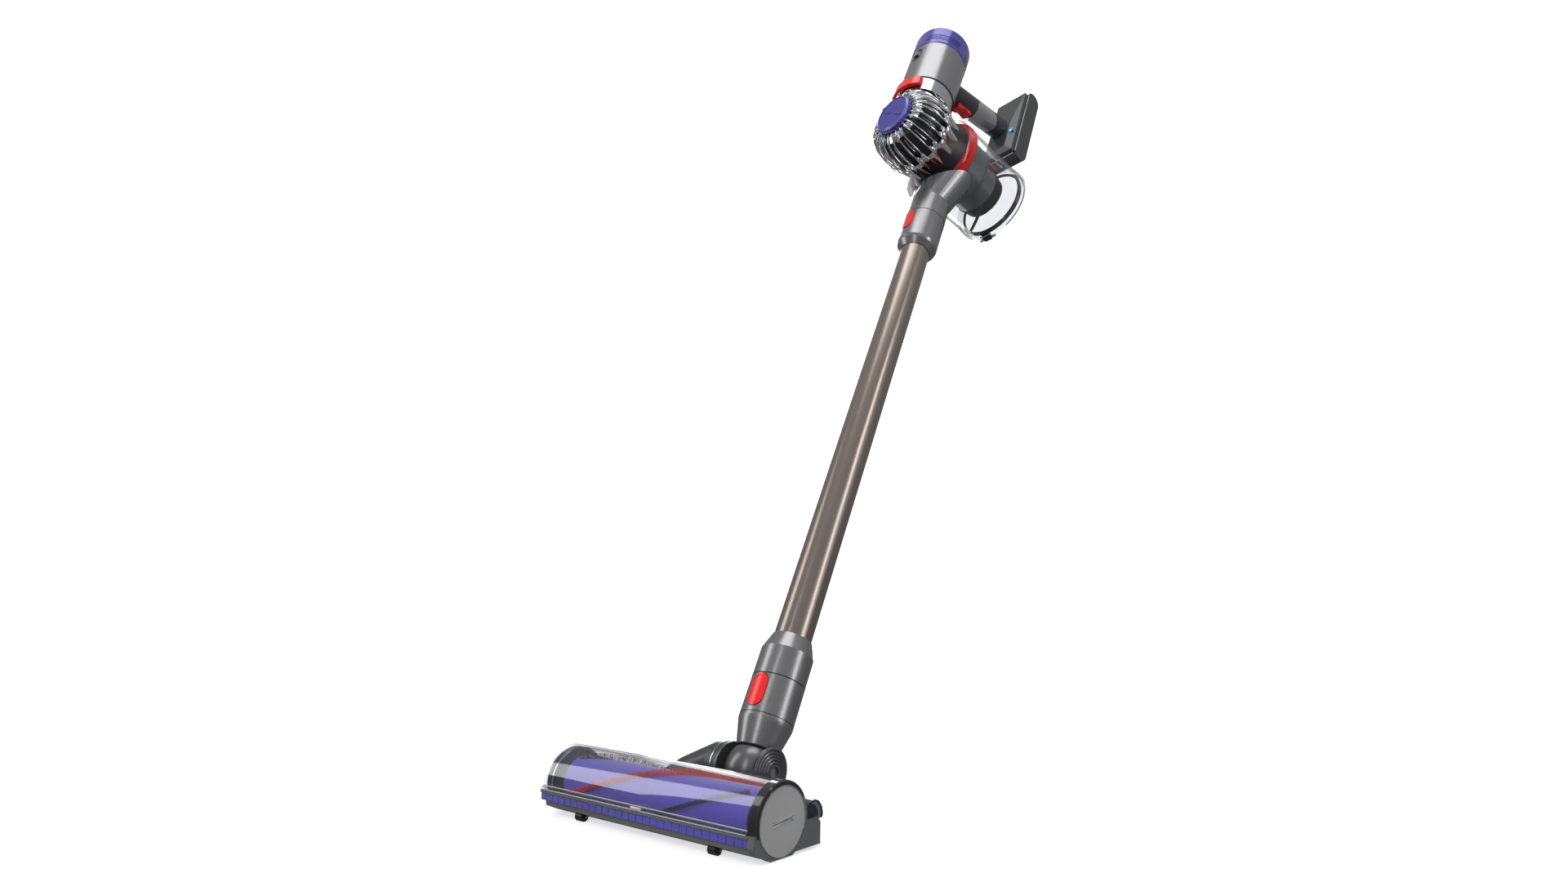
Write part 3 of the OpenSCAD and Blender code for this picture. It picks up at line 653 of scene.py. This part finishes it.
# ------------------------------------------------------------ bin
def bin_details():
    # clear trims and red rail along the top of the bin
    bm = bmesh.new()
    for s in (-1, 1):
        bar(bm, [(s * 8.4, -55.6, 4), (s * 8.4, -55.6, 50), (s * 8.4, -55.6, 103)], 1.4, 2.6,
            up=Vector((0, -1, 0)))
    piece("bin_rail", bm, BIN, BIN_CLEAR, "handheld", "clear")
    bm = bmesh.new()
    bar(bm, [(0, -60.4, 22), (0, -60.8, 50), (0, -60.4, 86)], 2.2, 1.0, up=Vector((0, -1, 0)))
    piece("rod_ridge", bm, BIN, RED, "release_rod", "red_gloss")
    # the door's gasket and rims, and the bars beside its hinge
    ring("door_gasket", BIN, [(48.2, 101.5), (51.6, 101.5), (52.2, 103.6), (50.6, 105.2), (48.2, 105.2)],
         GLOSS_BLACK, "bin_door", "black_rubber", start=-40, end=150)
    ring("door_rim", BIN, [(56.3, 104.8), (57.3, 105.4), (57.5, 109.6), (56.9, 110.4), (56.2, 109.8),
                           (56.2, 105.4)], BIN_CLEAR, "bin_door", "clear")
    ring("bin_lip", BIN, [(56.0, 97.5), (56.9, 98.4), (56.9, 103.0), (56.0, 103.6)], BIN_CLEAR, "handheld",
         "clear")
    # a crescent of painted highlight along the edge of the door
    ring("door_highlight_crescent", BIN, [(52.6, 110.3), (53.4, 111.2), (54.2, 111.2), (54.8, 110.3)], EDGE_HIGHLIGHT, "bin_door",
         "clear", start=-70, end=60)
    bm = bmesh.new()
    bar(bm, [(-9, 60.4, 100.5), (0, 61.2, 100.5), (9, 60.4, 100.5)], 2.2, 1.8, up=Vector((0, 1, 0)))
    bar(bm, [(-9, 61.6, 103.4), (0, 62.2, 103.4), (9, 61.6, 103.4)], 1.4, 1.2, up=Vector((0, 1, 0)))
    piece("hinge_bars", bm, BIN, CHROME, "handheld", "chromed")
    # a slanted dark strut that carries the shroud
    bm = bmesh.new()
    strut = []
    for i in range(9):
        a = math.radians(66 + 8 * i)
        strut.append(Vector((51.5 * math.cos(a), 51.5 * math.sin(a), 62 + 5 * i)))
    bar(bm, strut, 4.6, 2.0, up=Vector((0, 1, 0.2)))
    piece("bin_strut", bm, BIN, GLOSS_BLACK, "handheld", "black_plastic")
    # clear rim and red line of the cyclone collar, and the shroud's seam
    ring("collar_rim", BIN, [(54.6, -14.6), (55.6, -15.0), (56.1, -14.2), (56.1, -6.2), (54.6, -6.2)],
         BIN_CLEAR, "handheld", "clear")
    ring("collar_line", BIN, [(56.4, -2.0), (56.75, -2.0), (56.75, -1.3), (56.4, -1.3)], RED, "handheld",
         "red_gloss")
    ring("shroud_seam", BIN, [(45.9, 37.4), (46.25, 37.4), (46.25, 38.1), (45.9, 38.1)], BLACK, "handheld",
         "black_plastic")
    # rim and grips of the first filter's cap
    ring("prefilter_rim", BIN, [(24.3, -106.3), (24.8, -107.0), (27.4, -105.4), (27.6, -103.6),
                                (27.0, -103.2), (25.0, -104.6)],
         LAVENDER, "prefilter", "violet")
    bm = bmesh.new()
    for k in range(2):
        ang = math.radians(35 + 180 * k)
        bar(bm, [(6 * math.cos(ang), 6 * math.sin(ang), -106.2),
                 (13 * math.cos(ang), 13 * math.sin(ang), -106.6),
                 (20 * math.cos(ang), 20 * math.sin(ang), -106.2)], 2.6, 1.0, up=Vector((0, 0, -1)))
    piece("prefilter_grips", bm, BIN, VIOLET, "prefilter", "violet")
    # small fin on the outer side of the inlet
    bm = bmesh.new()
    loft(bm, [[Vector((x, -24.5, z)) for x, z in ((-15, 744), (-16, 770), (-12, 772), (-9, 746))],
              [Vector((x - 1.5, -33.5, z)) for x, z in ((-15, 754), (-16, 778), (-12, 780), (-9, 758))]])
    piece("inlet_fin", bm, WAND, SILVER, "handheld", "grey_metallic", bevel=1.2)


# ------------------------------------------------------------ motor, handle and battery
def hand_details():
    # bright grip cover on the handle, with a rounded end
    bm = bmesh.new()
    loops = []
    steps = 26
    for i in range(steps + 1):
        z = 17 + 46 * i / steps
        late = max(0.0, (z - 44) / 19)
        half = 84 * math.sqrt(max(0.02, 1 - late ** 2)) if late < 1 else 8
        early = max(0.0, (24 - z) / 7)
        half *= 1 - 0.35 * early ** 2
        outer, inner = [], []
        for k in range(25):
            a = math.radians(62 + half * (k / 12 - 1))
            r = 16.9 - 0.7 * abs(k / 12 - 1) ** 4
            outer.append(Vector((r * math.cos(a), r * math.sin(a), z)))
            inner.append(Vector((15.95 * math.cos(a), 15.95 * math.sin(a), z)))
        loops.append(outer + list(reversed(inner)))
    loft(bm, loops)
    piece("grip_cover", bm, GRIP, GREY_BRIGHT, "handheld", "grey_metallic", smooth=40)
    # a lit ring round the charge light, then painted highlights along two edges of the battery, and its seam
    # lines
    lo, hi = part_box("charge_light")
    middle = (Vector(lo) + Vector(hi)) / 2
    local = (WAND.inverted() @ middle) / MM
    front = Matrix.Translation(Vector((local.x, local.y - 3.6, local.z)) * MM)
    face = WAND @ front @ Matrix.Rotation(math.radians(90), 4, "X")
    ring("light_halo", face, [(1.7, 0.0), (1.9, 0.35), (4.6, 0.3), (5.0, 0.0), (4.6, -0.2), (1.7, -0.2)],
         GLOW, "handheld", "light_lens", steps=40)
    b_lo, b_hi = 938, 1088
    bm = bmesh.new()
    x, y = 30.1, 94.6
    bar(bm, [(x, y, b_lo + 5), (x, y, 1010), (x, y, b_hi - 12)], 0.9, 1.4, up=Vector((1, 0, 0)))
    bar(bm, [(-24, y, b_lo + 2), (0, y, b_lo + 1.4), (27, y, b_lo + 2)], 1.2, 1.6)
    piece("battery_edge_highlight", bm, WAND, SILVER, "handheld", "grey_metallic")
    bm = bmesh.new()
    bar(bm, [(x, 119.2, b_lo + 12), (x, 119.2, 1010), (x, 119.2, b_hi - 12)], 0.5, 0.8, up=Vector((1, 0, 0)))
    bar(bm, [(30.05, 106.6, b_lo + 14), (30.05, 106.6, 1010), (30.05, 106.6, b_hi - 14)], 0.35, 0.6,
        up=Vector((1, 0, 0)))
    piece("battery_seam", bm, WAND, BLACK, "handheld", "black_plastic")
    # seams and slots of the motor housing
    ring("housing_seam", MOTOR, [(38.95, -79.2), (39.2, -79.2), (39.2, -78.6), (38.95, -78.6)], BLACK,
         "handheld", "black_plastic")
    ring("cap_seam", MOTOR, [(38.9, -0.35), (39.15, -0.35), (39.15, 0.1), (38.9, 0.1)], BLACK, "handheld",
         "black_plastic")
    lines = bmesh.new()
    for k in range(3):
        z = 8.5 + 4.2 * k
        lathe(lines, [(39.1, z), (39.75, z), (39.75, z + 1.0), (39.1, z + 1.0)], start=-78 + 3 * k,
              end=-6 + 2 * k, steps=40)
    piece("cap_slots", lines, MOTOR, BLACK, "filter_cap", "black_plastic")
    # dark frame round the power slider
    bm = bmesh.new()
    loops = []
    for grow, r in ((0.0, 39.05), (0.4, 39.75), (1.6, 39.75), (2.0, 39.05)):
        loop = []
        for k in range(28):
            a = 2 * math.pi * k / 28
            c, d = math.cos(a), math.sin(a)
            w = (5.6 + grow) * math.copysign(abs(c) ** 0.5, c)
            h = (9.4 + grow) * math.copysign(abs(d) ** 0.5, d)
            ang = w / r
            loop.append(Vector((r * math.sin(ang), -r * math.cos(ang), -20 + h)))
        loops.append(loop)
    loft(bm, loops + [loops[0]], closed=False)
    piece("slider_frame", bm, MOTOR, GLOSS_BLACK, "handheld", "black_plastic", smooth=50)


head_details()
elbow_details()
bin_details()
hand_details()


# ------------------------------------------------------------ camera, light and floor
LENS, SENSOR = 21.663, 36        # millimetres
SHIFT = (-0.0458, -0.0092)
CAMERA_AT = (0.600765, -0.546026, 0.197815)
CAMERA_RIGHT = (0.79829, 0.60218, 0.01071)
CAMERA_UP = (0.08999, -0.13684, 0.98650)


def camera():
    data = bpy.data.cameras.new("camera")
    data.lens, data.sensor_width = LENS, SENSOR
    data.shift_x, data.shift_y = SHIFT
    ob = bpy.data.objects.new("camera", data)
    right, up = Vector(CAMERA_RIGHT), Vector(CAMERA_UP)
    ob.matrix_world = axes(Vector(CAMERA_AT), right, up, right.cross(up))
    bpy.context.scene.collection.objects.link(ob)
    bpy.context.scene.camera = ob


def area(name, at, aim, size, power, mirrored=True):
    data = bpy.data.lights.new(name, "AREA")
    data.shape, data.size, data.size_y, data.energy = "RECTANGLE", size[0], size[1], power
    ob = bpy.data.objects.new(name, data)
    ob.visible_glossy = mirrored
    data.specular_factor = 1.0 if mirrored else 0.0
    at, aim = Vector(at), Vector(aim)
    ob.matrix_world = Matrix.Translation(at) @ (aim - at).to_track_quat("-Z", "Y").to_matrix().to_4x4()
    bpy.context.scene.collection.objects.link(ob)


def world():
    w = bpy.data.worlds.new("studio")
    bpy.context.scene.world = w
    w.use_nodes = True
    t = w.node_tree
    back = t.nodes["Background"]
    place = node(t, "ShaderNodeTexCoord").outputs["Generated"]
    split = node(t, "ShaderNodeSeparateXYZ")
    t.links.new(place, split.inputs[0])
    ramp = node(t, "ShaderNodeValToRGB")
    ramp.color_ramp.elements[0].color = (0.16, 0.16, 0.165, 1)
    ramp.color_ramp.elements[1].color = (0.42, 0.42, 0.43, 1)
    ramp.color_ramp.elements[0].position = 0.45
    span = node(t, "ShaderNodeMapRange")
    span.inputs["From Min"].default_value = -1
    t.links.new(split.outputs["Z"], span.inputs["Value"])
    t.links.new(span.outputs["Result"], ramp.inputs["Fac"])
    t.links.new(ramp.outputs["Color"], back.inputs["Color"])
    back.inputs["Strength"].default_value = 1.0


def stage():
    """A round pale floor that sweeps up into a wall all the way round."""
    bm = bmesh.new()
    profile = [(0, 0), (2.6, 0)]
    profile += [(2.6 + 2.4 * math.sin(math.radians(a)), 2.4 - 2.4 * math.cos(math.radians(a)))
                for a in range(5, 91, 5)]
    profile += [(5.0, 7.0)]
    steps = 96
    centre = bm.verts.new((0, 0, 0))
    rings = []
    for i in range(steps):
        a = 2 * math.pi * i / steps
        rings.append([bm.verts.new((r * math.cos(a), r * math.sin(a), z)) for r, z in profile[1:]])
    for i in range(steps):
        one, two = rings[i], rings[(i + 1) % steps]
        bm.faces.new((centre, one[0], two[0]))
        for k in range(len(one) - 1):
            bm.faces.new((one[k], one[k + 1], two[k + 1], two[k]))
    mesh = bpy.data.meshes.new("floor")
    bm.to_mesh(mesh)
    bm.free()
    mesh.shade_smooth()
    m = bpy.data.materials.new("floor")
    m.use_nodes = True
    p = m.node_tree.nodes["Principled BSDF"]
    p.inputs["Base Color"].default_value = (0.62, 0.62, 0.63, 1)
    p.inputs["Roughness"].default_value = 0.9
    p.inputs["Emission Strength"].default_value = 1.0
    t = m.node_tree
    away = node(t, "ShaderNodeVectorMath", operation="LENGTH")
    t.links.new(node(t, "ShaderNodeTexCoord").outputs["Object"], away.inputs[0])
    ramp = node(t, "ShaderNodeValToRGB")
    ramp.color_ramp.elements[0].position, ramp.color_ramp.elements[1].position = 0.35, 0.9
    ramp.color_ramp.elements[0].color = (0.6, 0.6, 0.61, 1)
    ramp.color_ramp.elements[1].color = (1.1, 1.1, 1.1, 1)
    t.links.new(away.outputs["Value"], ramp.inputs["Fac"])
    t.links.new(ramp.outputs["Color"], p.inputs["Emission Color"])
    mesh.materials.append(m)
    ob = bpy.data.objects.new("floor", mesh)
    bpy.context.scene.collection.objects.link(ob)
    for ray in ("visible_diffuse", "visible_glossy", "visible_shadow"):
        setattr(ob, ray, False)


camera()
world()
stage()
area("key_strip", (0.5, -2.1, 1.0), (0.0, 0.3, 0.55), (0.28, 2.8), 6.5)
area("left_box", (-1.7, -1.1, 1.2), (0.0, 0.3, 0.5), (0.7, 2.0), 8)
area("right_box", (2.0, 0.7, 1.0), (0.0, 0.3, 0.5), (0.35, 2.2), 8)
area("top", (0.1, 0.2, 2.5), (0.0, 0.3, 0.0), (1.4, 1.0), 9)
area("back_left", (-1.4, 1.5, 0.9), (0.0, 0.3, 0.5), (0.4, 2.0), 8)
area("fill", (0.9, -1.9, 1.4), (0.0, 0.3, 0.5), (1.8, 1.8), 45, mirrored=False)
bpy.context.scene.view_settings.view_transform = "Standard"
